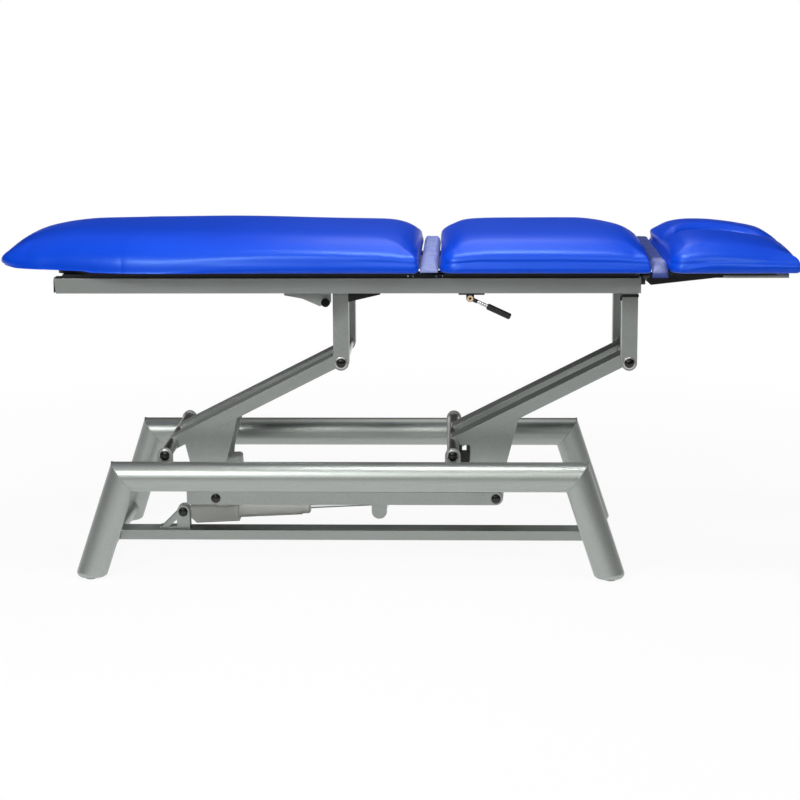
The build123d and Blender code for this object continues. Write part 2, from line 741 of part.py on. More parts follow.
def knuckles(hinge_x, reach_x, middles, pin_hole):
    """Hinge knuckles between a board and a hinge line, at several distances along Y."""
    for middle in middles:
        for side, s in SIDES:
            y_first = s * (middle - knuckle_width / 2)
            y_second = s * (middle + knuckle_width / 2)
            cylinder_y(hinge_x, hinge_height, knuckle_radius, y_first, y_second)
            plate_y(((hinge_x, knuckle_floor), (hinge_x, panel_bottom), (reach_x, panel_bottom),
                     (reach_x, knuckle_floor)), y_first, y_second)
            cylinder_y(hinge_x, hinge_height, pin_hole, y_first, y_second, Mode.SUBTRACT)


knuckle_pitch = knuckle_width + side_gap
taper_slope = (cushion_half - taper_half) / (taper_x - long_left)
panel_end_half = taper_half - panel_inset + taper_slope * (long_panel_left - long_left)

with BuildPart() as long_panel:
    panel_board(((long_panel_left, -panel_end_half), (taper_x, -panel_half),
                 (long_panel_right, -panel_half), (long_panel_right, panel_half),
                 (taper_x, panel_half), (long_panel_left, panel_end_half)), panel_radius)
    runners(long_runner_left, long_panel_right - panel_radius, beam_top + rest_gap)
    knuckles(long_hinge_x, long_panel_right - panel_radius, (knuckle_middle,),
             long_pin_radius + running_gap)
finish(long_panel, "long_panel")

with BuildPart() as centre_panel:
    panel_board(((centre_panel_left, -panel_half), (centre_panel_right, -panel_half),
                 (centre_panel_right, panel_half), (centre_panel_left, panel_half)), panel_radius)
    runners(centre_panel_left, beam_right - ear_thick - side_gap, beam_top)
    knuckles(long_hinge_x, centre_panel_left + panel_radius,
             (knuckle_middle - knuckle_pitch, knuckle_middle + knuckle_pitch), long_pin_radius)
finish(centre_panel, "centre_panel")

with BuildPart() as hinge_pin:
    pin_reach = knuckle_middle + knuckle_pitch + knuckle_width / 2
    cylinder_y(long_hinge_x, hinge_height, long_pin_radius, -pin_reach, pin_reach)
finish(hinge_pin, "hinge_pin")

with BuildPart() as head_panel:
    panel_board(((head_panel_left, -panel_half), (head_panel_right, -panel_half),
                 (head_panel_right, panel_half), (head_panel_left, panel_half)), panel_radius)
    runners(head_runner_left, head_runner_right, beam_top)
    with BuildSketch(Plane.XY.offset(panel_bottom)):
        with Locations((hole_x, 0)):
            Ellipse(hole_half_x, hole_half_y)
    extrude(amount=panel_top - panel_bottom, mode=Mode.SUBTRACT)
finish(head_panel, "head_panel")

with BuildPart() as head_hinge:
    ear_outer = ear_inner + ear_thick
    cylinder_y(head_hinge_x, hinge_height, head_pin_radius, -ear_outer, ear_outer)
    for side, s in SIDES:
        with BuildSketch(facing(s * gusset_inner, s * (gusset_inner + plate_thick))):
            with Locations((head_hinge_x, hinge_height)):
                Circle(gusset_ring)
            Polygon((head_hinge_x, panel_bottom), (head_hinge_x, hinge_height - gusset_ring),
                    (gusset_knee_x, gusset_knee_z), (gusset_end_x, gusset_tip_z),
                    (gusset_end_x, panel_bottom), align=None)
        extrude(amount=plate_thick)
finish(head_hinge, "head_hinge")


# Cushions
def soft_block(points, radii, fall):
    """Upholstered block with a crowned top, from its plan outline; fall lowers its last X end."""
    x_values = [point[0] for point in points]
    length = max(x_values) - min(x_values)
    crown_radius = (cushion_half ** 2 + cushion_crown ** 2) / (cushion_crown * 2)
    with BuildSketch(Plane.XY.offset(cushion_bottom)) as plan:
        Polygon(*points, align=None)
        corners = plan.vertices().sort_by(Axis.X)
        for found, radius in zip([corners[i:i + 2] for i in range(0, len(corners), 2)], radii):
            fillet(found, radius)
    extrude(plan.sketch, amount=cushion_top - cushion_bottom)
    top_middle = Vector((min(x_values) + max(x_values)) / 2, 0, cushion_top - fall / 2)
    crown_origin = top_middle - Vector(fall, 0, length).normalized() * crown_radius
    with BuildSketch(Plane(origin=crown_origin, z_dir=Vector(length, 0, -fall))) as crown:
        Circle(crown_radius)
    extrude(crown.sketch, amount=length, both=True, mode=Mode.INTERSECT)


def soften(block, upper, lower):
    """Large rounding along the top edge and a small one where the cover is pulled under."""
    fillet(block.faces().sort_by(Axis.Z)[-1].edges(), upper)
    fillet(block.faces().filter_by(Axis.Z).sort_by(Axis.Z)[0].outer_wire().edges(), lower)


with BuildPart() as long_cushion:
    soft_block(((long_left, -taper_half), (taper_x, -cushion_half), (long_right, -cushion_half),
                (long_right, cushion_half), (taper_x, cushion_half), (long_left, taper_half)),
               (cushion_corner, taper_round, cushion_corner), 0)
    soften(long_cushion, cushion_round, cushion_drawn)
finish(long_cushion, "long_cushion")

with BuildPart() as centre_cushion:
    soft_block(((centre_left, -cushion_half), (centre_right, -cushion_half),
                (centre_right, cushion_half), (centre_left, cushion_half)),
               (cushion_corner, cushion_corner), 0)
    soften(centre_cushion, cushion_round, cushion_drawn)
finish(centre_cushion, "centre_cushion")

with BuildPart() as head_cushion:
    soft_block(((head_left, -cushion_half), (head_right, -cushion_half),
                (head_right, cushion_half), (head_left, cushion_half)),
               (cushion_corner, head_corner), head_fall)
    soften(head_cushion, cushion_round, cushion_drawn)
    with BuildSketch(Plane.XY.offset(cushion_bottom)):
        with Locations((hole_x, 0)):
            Ellipse(hole_half_x, hole_half_y)
    extrude(amount=cushion_top - cushion_bottom, mode=Mode.SUBTRACT)
    rim = [edge for edge in head_cushion.edges()
           if abs(edge.center().Y) < hole_half_x
           and abs(edge.center().X - hole_x) < hole_half_x + hole_lip
           and edge.center().Z > cushion_bottom + cushion_round]
    fillet(rim, hole_lip)
finish(head_cushion, "head_cushion")

for cover_name, x_first, x_second in (("left", long_right, centre_left),
                                      ("right", centre_right, head_left)):
    with BuildPart() as gap_cover:
        x_in = x_first + soft_gap
        x_out = x_second - soft_gap
        with BuildSketch(facing(-cover_half, cover_half)):
            with BuildLine():
                outer = ThreePointArc((x_in, cover_foot), ((x_in + x_out) / 2, cover_foot + cover_rise),
                                      (x_out, cover_foot))
                Line((x_out, cover_foot), (x_out - cover_thick, cover_foot))
                ThreePointArc((x_out - cover_thick, cover_foot),
                              ((x_in + x_out) / 2, cover_foot + cover_rise - cover_thick),
                              (x_in + cover_thick, cover_foot))
                Line((x_in + cover_thick, cover_foot), (x_in, cover_foot))
            make_face()
        extrude(amount=cover_half * 2)
    finish(gap_cover, "gap_cover_" + cover_name)
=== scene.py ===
import math

import bmesh
import bpy
import numpy as np
from mathutils import Matrix, Vector


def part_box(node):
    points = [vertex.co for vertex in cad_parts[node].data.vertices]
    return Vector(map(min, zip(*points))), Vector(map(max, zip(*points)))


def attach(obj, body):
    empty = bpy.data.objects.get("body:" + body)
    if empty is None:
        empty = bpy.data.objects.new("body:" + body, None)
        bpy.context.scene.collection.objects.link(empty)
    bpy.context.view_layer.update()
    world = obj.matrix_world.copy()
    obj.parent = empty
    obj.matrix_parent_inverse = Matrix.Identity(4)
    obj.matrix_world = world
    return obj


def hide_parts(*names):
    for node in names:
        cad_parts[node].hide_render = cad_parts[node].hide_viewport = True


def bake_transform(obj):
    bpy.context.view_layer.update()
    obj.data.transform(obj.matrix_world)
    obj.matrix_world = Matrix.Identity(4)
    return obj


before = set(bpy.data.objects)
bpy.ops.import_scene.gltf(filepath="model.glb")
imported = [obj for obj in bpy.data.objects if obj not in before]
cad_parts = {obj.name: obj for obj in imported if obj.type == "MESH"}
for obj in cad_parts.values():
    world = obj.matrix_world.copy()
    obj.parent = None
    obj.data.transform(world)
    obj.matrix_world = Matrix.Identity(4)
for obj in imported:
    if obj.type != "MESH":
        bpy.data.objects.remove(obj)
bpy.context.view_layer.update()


# Studio
# A white paper floor with an upturned rim far away, so that it fills the view to its top. A soft
# box hangs over the table, a long one leans over it from behind, one hangs before each end, and
# a large one hangs over the camera, to its left.
def linear(code):
    """Colour of a six-digit sRGB code as linear red, green, blue and alpha."""
    parts = [int(code[i:i + 2], 16) / 255 for i in (0, 2, 4)]
    return [p / 12.92 if p <= 0.04045 else ((p + 0.055) / 1.055) ** 2.4 for p in parts] + [1.0]


def add_node(tree, kind, inputs=None, **settings):
    """A shader node with its settings; inputs holds values or other nodes' sockets.

    Inputs go by name or number. A MapRange takes 1 to 2 and gives 3 to 4, and a Mix of colours
    goes from 6 to 7.
    """
    node = tree.nodes.new("ShaderNode" + kind)
    for name, value in settings.items():
        setattr(node, name, value)
    for name, value in (inputs or {}).items():
        if isinstance(value, bpy.types.NodeSocket):
            tree.links.new(value, node.inputs[name])
        else:
            node.inputs[name].default_value = value
    return node


def new_finish(name):
    material = bpy.data.materials.new(name)
    material.use_nodes = True
    material.node_tree.nodes.clear()
    return material, material.node_tree


def add_math(tree, operation, first, second):
    return add_node(tree, "Math", {0: first, 1: second}, operation=operation).outputs[0]


FLOOR_RADIUS, FLOOR_RIM = 45.0, 1.9
floor_shape = bmesh.new()
bmesh.ops.create_circle(floor_shape, cap_ends=True, segments=96, radius=FLOOR_RADIUS)
rim_edges = [edge for edge in floor_shape.edges if edge.is_boundary]
lip = bmesh.ops.extrude_edge_only(floor_shape, edges=rim_edges)
bmesh.ops.translate(floor_shape, vec=(0, 0, FLOOR_RIM),
                    verts=[part for part in lip["geom"] if isinstance(part, bmesh.types.BMVert)])
floor_mesh = bpy.data.meshes.new("paper_floor")
floor_shape.to_mesh(floor_mesh)
floor_shape.free()
paper_floor = bpy.data.objects.new("paper_floor", floor_mesh)
bpy.context.collection.objects.link(paper_floor)

# Matt white paper, white where the camera looks and in mirrors; near the table a small share of
# it takes shadows. From 2.0 to 2.6 m before the table it gives way to the dim studio floor, which
# only reflections and bounced light see.
paper, tree = new_finish("matt_white_paper")
spot = add_node(tree, "SeparateXYZ", {0: add_node(tree, "TexCoord").outputs["Object"]})
laid = add_node(tree, "MapRange", {0: spot.outputs["Y"], 1: -2.6, 2: -2.0}).outputs[0]
away = add_node(tree, "VectorMath", {0: add_node(tree, "TexCoord").outputs["Object"]},
                operation="LENGTH").outputs["Value"]
white_share = add_node(tree, "MapRange", {0: away, 1: 1.1, 2: 3.0, 3: 0.93, 4: 1.0}).outputs[0]
path = add_node(tree, "LightPath")
mirrored = add_math(tree, "MAXIMUM", path.outputs["Is Glossy Ray"],
                    path.outputs["Is Transmission Ray"])
seen = add_math(tree, "MAXIMUM", path.outputs["Is Camera Ray"],
                add_math(tree, "MULTIPLY", mirrored, laid))
tone = add_node(tree, "Mix", {0: laid, 6: linear("48474A"), 7: linear("F4F4F3")},
                data_type="RGBA")
matt = add_node(tree, "BsdfDiffuse", {"Color": tone.outputs[2]})
white = add_node(tree, "Emission", {"Color": linear("FFFFFF"), "Strength": 1.0})
mixed = add_node(tree, "MixShader", {0: add_math(tree, "MULTIPLY", seen, white_share),
                                     1: matt.outputs[0], 2: white.outputs[0]})
add_node(tree, "OutputMaterial", {"Surface": mixed.outputs[0]})
floor_mesh.materials.append(paper)

# The room: dim and a little warm all round, lighter overhead and behind the camera.
world = bpy.data.worlds.new("studio_air")
world.use_nodes = True
tree = world.node_tree
tree.nodes.clear()
way = add_node(tree, "SeparateXYZ", {0: add_node(tree, "TexCoord").outputs["Generated"]})
above = add_node(tree, "MapRange", {0: way.outputs["Z"], 1: 0.40, 2: 0.95, 4: 0.30}).outputs[0]
front = add_node(tree, "MapRange", {0: way.outputs["Y"], 1: 0.1, 2: -0.9, 4: 0.07}).outputs[0]
level = add_math(tree, "ADD", add_math(tree, "ADD", above, front), 0.025)
dim = add_node(tree, "Background", {"Color": linear("E6E2D8"), "Strength": level})
bright = add_node(tree, "Background", {"Color": linear("FFFFFF"), "Strength": 1.0})
path = add_node(tree, "LightPath")
air = add_node(tree, "MixShader", {0: path.outputs["Is Camera Ray"], 1: dim.outputs[0],
                                   2: bright.outputs[0]})
add_node(tree, "OutputWorld", {"Surface": air.outputs[0]})
bpy.context.scene.world = world

for lamp_name, place, aim, width, depth, watts in (
        ("overhead_box", (0.15, -0.55, 2.75), (0.12, -0.30, 0.8), 0.95, 0.45, 26.0),
        ("back_bank", (0.15, 1.35, 3.2), (0.12, 0.0, 0.8), 1.1, 2.6, 13.0),
        ("box_left", (-1.35, -2.95, 2.75), (-0.6, 0.0, 0.5), 1.2, 0.9, 54.0),
        ("box_right", (1.4, -2.95, 2.75), (0.7, 0.0, 0.7), 0.7, 0.8, 14.0),
        ("front_fill", (-1.1, -5.4, 3.2), (-0.5, 0.0, 0.5), 4.4, 3.5, 74.0)):
    lamp_data = bpy.data.lights.new(lamp_name, "AREA")
    lamp_data.shape = "RECTANGLE"
    lamp_data.size, lamp_data.size_y, lamp_data.energy = width, depth, watts
    lamp = bpy.data.objects.new(lamp_name, lamp_data)
    bpy.context.collection.objects.link(lamp)
    lamp.location = place
    lamp.rotation_euler = (Vector(aim) - Vector(place)).to_track_quat("-Z", "Y").to_euler()

camera_data = bpy.data.cameras.new("camera")
camera_data.sensor_width, camera_data.lens = 36.0, 94.5
camera_spot, camera_turn, camera_dip, camera_roll = (0.1695, -5.482, 1.46), 1.84, 10.86, -0.29
camera = bpy.data.objects.new("camera", camera_data)
bpy.context.collection.objects.link(camera)
camera.matrix_world = (Matrix.Translation(camera_spot)
                       @ Matrix.Rotation(math.radians(camera_turn), 4, "Z")
                       @ Matrix.Rotation(math.radians(90 - camera_dip), 4, "X")
                       @ Matrix.Rotation(math.radians(camera_roll), 4, "Z"))
bpy.context.scene.camera = camera
bpy.context.scene.view_settings.view_transform = "Standard"


# Steel frame
# Welded steel tube and plate: base rails and legs, lower bar, lift arms, tie bars, columns and
# beams. Sprayed with silver-grey metallic paint over a fine-grained primer.
def dress(material, *names):
    """Gives CAD nodes a finish; a name that ends in _ stands for every node that starts so."""
    for name in names:
        for node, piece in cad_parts.items():
            if node == name or (name.endswith("_") and node.startswith(name)):
                piece.data.materials.clear()
                piece.data.materials.append(material)


# Metallic paint: satin, half metal flake and half binder; the flakes show as a faint sparkle.
# Real flakes are 0.05 mm, so they are drawn as 1.5 mm clusters to show at all.
silver_paint, tree = new_finish("silver_metallic_paint")
place = add_node(tree, "TexCoord").outputs["Object"]
flakes = add_node(tree, "TexNoise", {"Vector": place, "Scale": 700.0, "Detail": 2.0})
patches = add_node(tree, "TexNoise", {"Vector": place, "Scale": 9.0, "Detail": 3.0})
tone = add_node(tree, "Mix", {0: flakes.outputs[0], 6: linear("878C89"), 7: linear("C3C8C4")},
                data_type="RGBA")
wear_and_painted_highlight = add_node(tree, "MapRange", {0: patches.outputs[0], 3: 0.33, 4: 0.43})
grit = add_node(tree, "Bump", {"Height": flakes.outputs[0], "Strength": 0.10, "Distance": 0.0006})
edge = add_node(tree, "Bevel", {"Radius": 0.0018, "Normal": grit.outputs[0]}, samples=4)
coat = add_node(tree, "BsdfPrincipled", {"Base Color": tone.outputs[2], "Metallic": 0.75,
                                         "Roughness": wear_and_painted_highlight.outputs[0], "Normal": edge.outputs[0]})
add_node(tree, "OutputMaterial", {"Surface": coat.outputs[0]})
dress(silver_paint, "base_rail_", "leg_", "cross_tube_", "lower_bar", "actuator_bracket",
      "arm_tube_", "lever_plate_", "tie_bar_", "drive_shaft", "beam_", "column_",
      "cross_member_", "section_bracket")


def finish_piece(name, shape, material, body, angle=35.0):
    """Makes the mesh object of a bmesh shape, smooth but for edges over the angle, on its body."""
    mesh = bpy.data.meshes.new(name)
    shape.to_mesh(mesh)
    shape.free()
    mesh.materials.append(material)
    mesh.shade_smooth()
    mesh.set_sharp_from_angle(angle=math.radians(angle))
    piece = bpy.data.objects.new(name, mesh)
    bpy.context.collection.objects.link(piece)
    if body:
        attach(piece, body)
    return piece


def add_shape(shape, other):
    """Puts a copy of another bmesh into a shape."""
    carried = bpy.data.meshes.new("carried")
    other.to_mesh(carried)
    other.free()
    shape.from_mesh(carried)
    bpy.data.meshes.remove(carried)


# Welds
# The seams that join leg to rail, cross tube to leg and column to cross member: a low rippled
# bead of filler metal, painted over with the frame.
def weld_bead(shape, points, height):
    """Rippled bead round a ring of points, as a round bar half sunk into the joint."""
    line = bpy.data.curves.new("bead", "CURVE")
    line.dimensions = "3D"
    line.bevel_depth, line.bevel_resolution = height, 2
    spline = line.splines.new("POLY")
    spline.points.add(len(points) - 1)
    for number, (spot, point) in enumerate(zip(spline.points, points)):
        spot.co = (*point, 1.0)
        spot.radius = 1.0 + 0.22 * math.sin(number * 2.1)
    spline.use_cyclic_u = True
    holder = bpy.data.objects.new("bead", line)
    bead = bpy.data.meshes.new_from_object(holder)
    shape.from_mesh(bead)
    bpy.data.objects.remove(holder)
    bpy.data.curves.remove(line)
    bpy.data.meshes.remove(bead)


RAIL_RADIUS, RAIL_Y, RAIL_Z = 0.03805, 0.2864, 0.2636
BASE_MIDDLE, CORNER_REACH = -0.1275, 0.5787
CROSS_TUBE_RADIUS, CROSS_TUBE_Z = 0.0212, 0.045
LEG_SPLAY, LEG_SPREAD = math.radians(18.35), math.radians(3.65)
leg_slope = Vector((math.tan(LEG_SPLAY), math.tan(LEG_SPREAD), -1.0))
base_welds = bmesh.new()
for end in (-1, 1):
    for side in (-1, 1):
        knee = Vector((BASE_MIDDLE + end * CORNER_REACH, side * RAIL_Y, RAIL_Z))
        along_leg = Vector((end * leg_slope.x, side * leg_slope.y, leg_slope.z)).normalized()
        cut = Vector((-end, 0, 0)) - along_leg
        seam = []
        for step in range(96):
            turn = step / 96 * math.tau
            across = Vector((0, math.cos(turn), math.sin(turn))) * RAIL_RADIUS
            seam.append(knee + across + Vector((-cut.dot(across) / cut.x, 0, 0)))
        weld_bead(base_welds, seam, 0.0011)
        foot = knee + along_leg * ((RAIL_Z - CROSS_TUBE_Z) / -along_leg.z)
        saddle = []
        for step in range(48):
            turn = step / 48 * math.tau
            spot = foot + Vector((math.cos(turn), 0, math.sin(turn))) * CROSS_TUBE_RADIUS
            reach = Vector((0, -side, 0))
            for _ in range(30):
                offset = spot - foot
                gap = (offset - along_leg * offset.dot(along_leg)).length - RAIL_RADIUS
                spot += reach * -gap if gap < 0 else reach * -gap * 0.5
            saddle.append(spot)
        weld_bead(base_welds, saddle, 0.0018)
finish_piece("base_welds", base_welds, silver_paint, "base")

LEFT_TOP_X, RIGHT_TOP_X, COLUMN_Y = -0.1515, 0.5855, 0.162
COLUMN_HALF, BEAM_UNDER = 0.0202, 0.730
frame_welds = bmesh.new()
for side in (-1, 1):
    square = [Vector((LEFT_TOP_X + COLUMN_HALF * u, side * COLUMN_Y + COLUMN_HALF * v,
                      BEAM_UNDER - 0.0004))
              for u, v in ((-1, -1), (0, -1), (1, -1), (1, 0), (1, 1), (0, 1), (-1, 1), (-1, 0))]
    weld_bead(frame_welds, square, 0.0016)
finish_piece("column_welds", frame_welds, silver_paint, "top_frame")


# Pivot covers
# Pressed-on black plastic domes over the axle ends and pins. Those of the lift arms sit on
# bright steel washers.
def lathe(shape, profile, place, steps=40):
    """Spins radius and height pairs round the local Z axis and adds the result in its place."""
    turned = bmesh.new()
    spots = [turned.verts.new((radius, 0, height)) for radius, height in profile]
    line = [turned.edges.new(pair) for pair in zip(spots, spots[1:])]
    bmesh.ops.spin(turned, geom=spots + line, cent=(0, 0, 0), axis=(0, 0, 1), angle=math.tau,
                   steps=steps, use_merge=True)
    bmesh.ops.remove_doubles(turned, verts=turned.verts, dist=1e-6)
    bmesh.ops.recalc_face_normals(turned, faces=turned.faces)
    turned.transform(place)
    add_shape(shape, turned)


def facing_out(x, y, z):
    """Place on the near or far side, with the local Z axis away from the middle plane."""
    turn = math.radians(90 if y < 0 else -90)
    return Matrix.Translation((x, y, z)) @ Matrix.Rotation(turn, 4, "X")


# Moulded polyamide: black, polished mould, so small bright highlights on each dome.
black_plastic, tree = new_finish("moulded_black_polyamide")
place = add_node(tree, "TexCoord").outputs["Object"]
orange_peel = add_node(tree, "TexNoise", {"Vector": place, "Scale": 260.0, "Detail": 2.0})
skin = add_node(tree, "Bump", {"Height": orange_peel.outputs[0], "Strength": 0.08,
                               "Distance": 0.0005})
gloss = add_node(tree, "MapRange", {0: orange_peel.outputs[0], 3: 0.16, 4: 0.26})
shell = add_node(tree, "BsdfPrincipled", {"Base Color": linear("0C0C0D"), "IOR": 1.53,
                                          "Roughness": gloss.outputs[0], "Normal": skin.outputs[0]})
add_node(tree, "OutputMaterial", {"Surface": shell.outputs[0]})

# Turned steel: bright, with fine rings from the lathe that blur its highlights.
bright_steel, tree = new_finish("turned_bright_steel")
place = add_node(tree, "TexCoord").outputs["Object"]
rings = add_node(tree, "TexNoise", {"Vector": place, "Scale": 420.0, "Detail": 3.0})
shine = add_node(tree, "MapRange", {0: rings.outputs[0], 3: 0.22, 4: 0.38})
steel = add_node(tree, "BsdfPrincipled", {"Base Color": linear("C6C6C3"), "Metallic": 1.0,
                                          "Roughness": shine.outputs[0]})
add_node(tree, "OutputMaterial", {"Surface": steel.outputs[0]})
dress(bright_steel, "axle_")

DOME = [(0, 0), (0.0118, 0), (0.0125, 0.0006), (0.0125, 0.0019), (0.0119, 0.0026),
        (0.0106, 0.0030), (0.0101, 0.0040), (0.0090, 0.0054), (0.0071, 0.0064),
        (0.0045, 0.0069), (0, 0.0070)]
WASHER = [(0.0085, 0), (0.0150, 0), (0.0154, 0.0003), (0.0154, 0.0010), (0.0149, 0.0013),
          (0.0085, 0.0013)]

# Lower axle, upper axle and tie pin of an arm: reach from the lower axle, height, how far from
# the middle plane the dome sits, and whether it has a washer.
PIVOTS = ((0.0, 0.3105, 0.2505, True), (0.450, 0.539, 0.1825, True), (0.112, 0.1665, 0.118, False))
for end, pivot_x in (("left", -0.6015), ("right", 0.1355)):
    domes, washers = bmesh.new(), bmesh.new()
    for side in (-1, 1):
        for reach, height, out, has_washer in PIVOTS:
            spot = facing_out(pivot_x + reach, side * out, height)
            lathe(domes, DOME, spot)
            if has_washer:
                lathe(washers, WASHER, spot)
    cover = finish_piece("pivot_covers_" + end, domes, black_plastic, end + "_arm")
    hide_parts("pivot_caps_" + end)
    finish_piece("pivot_washers_" + end, washers, bright_steel, end + "_arm")

PIN_X, PIN_HALF, PIN_Z = -0.5905, 0.0175, 0.1045
actuator_pin = bmesh.new()
lathe(actuator_pin, [(0, 0), (0.008, 0), (0.008, 2 * PIN_HALF), (0, 2 * PIN_HALF)],
      Matrix.Translation((PIN_X, PIN_HALF, PIN_Z)) @ Matrix.Rotation(math.pi / 2, 4, "X"))
for side in (-1, 1):
    lathe(actuator_pin, DOME, facing_out(PIN_X, side * PIN_HALF, PIN_Z))
pin = finish_piece("actuator_pin_covers", actuator_pin, black_plastic, "base")
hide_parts("actuator_pin")

# Foot glides
# Black plastic discs on a levelling screw under each leg.
GLIDE = [(0, 0), (0.0125, 0), (0.0142, 0.0007), (0.0150, 0.0020), (0.0150, 0.0042),
         (0.0143, 0.0051), (0.0075, 0.0054), (0.0070, 0.0060), (0, 0.0060)]
for node in ("foot_pad_near_left", "foot_pad_near_right", "foot_pad_far_left",
             "foot_pad_far_right"):
    low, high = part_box(node)
    glide_shape = bmesh.new()
    lathe(glide_shape, GLIDE, Matrix.Translation(((low.x + high.x) / 2, (low.y + high.y) / 2, 0)))
    glide = finish_piece(node.replace("foot_pad", "glide"), glide_shape, black_plastic, "base")
    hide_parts(node)


# Beam plugs and seals
# Moulded plugs close the beams' left ends, with a rubber strip over them; a black rubber collar
# closes the top of each right column.
def add_block(shape, low, high, bevel):
    """Box between two corners with its edges rounded."""
    block = bmesh.new()
    bmesh.ops.create_cube(block, size=1.0)
    size = Vector(high) - Vector(low)
    block.transform(Matrix.Translation((Vector(low) + Vector(high)) / 2)
                    @ Matrix.Diagonal((*size, 1.0)))
    bmesh.ops.bevel(block, geom=list(block.edges), offset=bevel, offset_type="OFFSET",
                    segments=2, profile=0.5, affect="EDGES", material=-1)
    add_shape(shape, block)


# Soft rubber: black, matt, faintly dusty.
black_rubber, tree = new_finish("matt_black_rubber")
place = add_node(tree, "TexCoord").outputs["Object"]
dust = add_node(tree, "TexNoise", {"Vector": place, "Scale": 90.0, "Detail": 4.0})
bloom = add_node(tree, "Mix", {0: dust.outputs[0], 6: linear("0B0B0C"), 7: linear("1A1A1B")},
                 data_type="RGBA")
pores = add_node(tree, "TexNoise", {"Vector": place, "Scale": 900.0, "Detail": 1.0})
skin = add_node(tree, "Bump", {"Height": pores.outputs[0], "Strength": 0.25, "Distance": 0.0004})
rubber = add_node(tree, "BsdfPrincipled", {"Base Color": bloom.outputs[2], "IOR": 1.5,
                                           "Roughness": 0.55, "Normal": skin.outputs[0]})
add_node(tree, "OutputMaterial", {"Surface": rubber.outputs[0]})

BEAM_Y = 0.240
for side in (-1, 1):
    near = "near" if side < 0 else "far"
    middle = side * BEAM_Y
    plug = bmesh.new()
    add_block(plug, (-0.8708, middle - 0.0190, 0.7310), (-0.8695, middle + 0.0190, 0.7672), 0.0006)
    add_block(plug, (-0.8695, middle - 0.0165, 0.7340), (-0.8480, middle + 0.0165, 0.7648), 0.0009)
    finish_piece("beam_plug_" + near, plug, black_plastic, "top_frame")
    strip = bmesh.new()
    add_block(strip, (-0.8700, middle - 0.0185, 0.7679), (-0.8490, middle + 0.0185, 0.7700), 0.0006)
    finish_piece("beam_strip_" + near, strip, black_rubber, "top_frame")
    seal = bmesh.new()
    add_block(seal, (RIGHT_TOP_X - 0.0222, side * COLUMN_Y - 0.0222, 0.7088),
              (RIGHT_TOP_X + 0.0215, side * COLUMN_Y + 0.0222, 0.7160), 0.0008)
    add_block(seal, (RIGHT_TOP_X - 0.0255, side * 0.170 - 0.0060, 0.6990),
              (RIGHT_TOP_X - 0.0200, side * 0.170 + 0.0060, 0.7095), 0.0010)
    finish_piece("column_seal_" + near, seal, black_rubber, "top_frame")

# Painted black sheet: brackets and hinge gussets in a satin black powder coat.
black_coat, tree = new_finish("black_powder_coat")
place = add_node(tree, "TexCoord").outputs["Object"]
grains = add_node(tree, "TexNoise", {"Vector": place, "Scale": 520.0, "Detail": 2.0})
skin = add_node(tree, "Bump", {"Height": grains.outputs[0], "Strength": 0.2, "Distance": 0.0004})
powder = add_node(tree, "BsdfPrincipled", {"Base Color": linear("101012"), "Roughness": 0.42,
                                           "Normal": skin.outputs[0]})
add_node(tree, "OutputMaterial", {"Surface": powder.outputs[0]})
dress(black_coat, "corner_gusset", "lever_hanger")

# Head gussets: a tapered plate under each side of the head section, on the hinge pin.
HEAD_HINGE = Vector((0.618, 0.0, 0.774))
HINGE_HALF, HINGE_RADIUS, GUSSET_Y, GUSSET_THICK = 0.228, 0.005, 0.2135, 0.0058
gusset_shape = bmesh.new()
lathe(gusset_shape, [(0, -HINGE_HALF), (HINGE_RADIUS, -HINGE_HALF), (HINGE_RADIUS, HINGE_HALF),
                     (0, HINGE_HALF)],
      Matrix.Translation(HEAD_HINGE) @ Matrix.Rotation(math.pi / 2, 4, "X"))
for side in (-1, 1):
    plate = bmesh.new()
    outline = [(0.6095, 0.7765), (0.6095, 0.7690), (0.6170, 0.7605), (0.6335, 0.7452),
               (0.8440, 0.7685), (0.8460, 0.7700), (0.8460, 0.7778), (0.6120, 0.7778)]
    face = plate.faces.new([plate.verts.new((x, side * GUSSET_Y, z)) for x, z in outline])
    swept = bmesh.ops.extrude_face_region(plate, geom=[face])
    bmesh.ops.translate(plate, vec=(0, side * GUSSET_THICK, 0),
                        verts=[v for v in swept["geom"] if isinstance(v, bmesh.types.BMVert)])
    bmesh.ops.recalc_face_normals(plate, faces=plate.faces)
    bmesh.ops.bevel(plate, geom=list(plate.edges), offset=0.0008, offset_type="OFFSET",
                    segments=1, profile=0.5, affect="EDGES", material=-1)
    add_shape(gusset_shape, plate)
gussets = finish_piece("head_gussets", gusset_shape, black_coat, "head_section")
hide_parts("head_hinge")

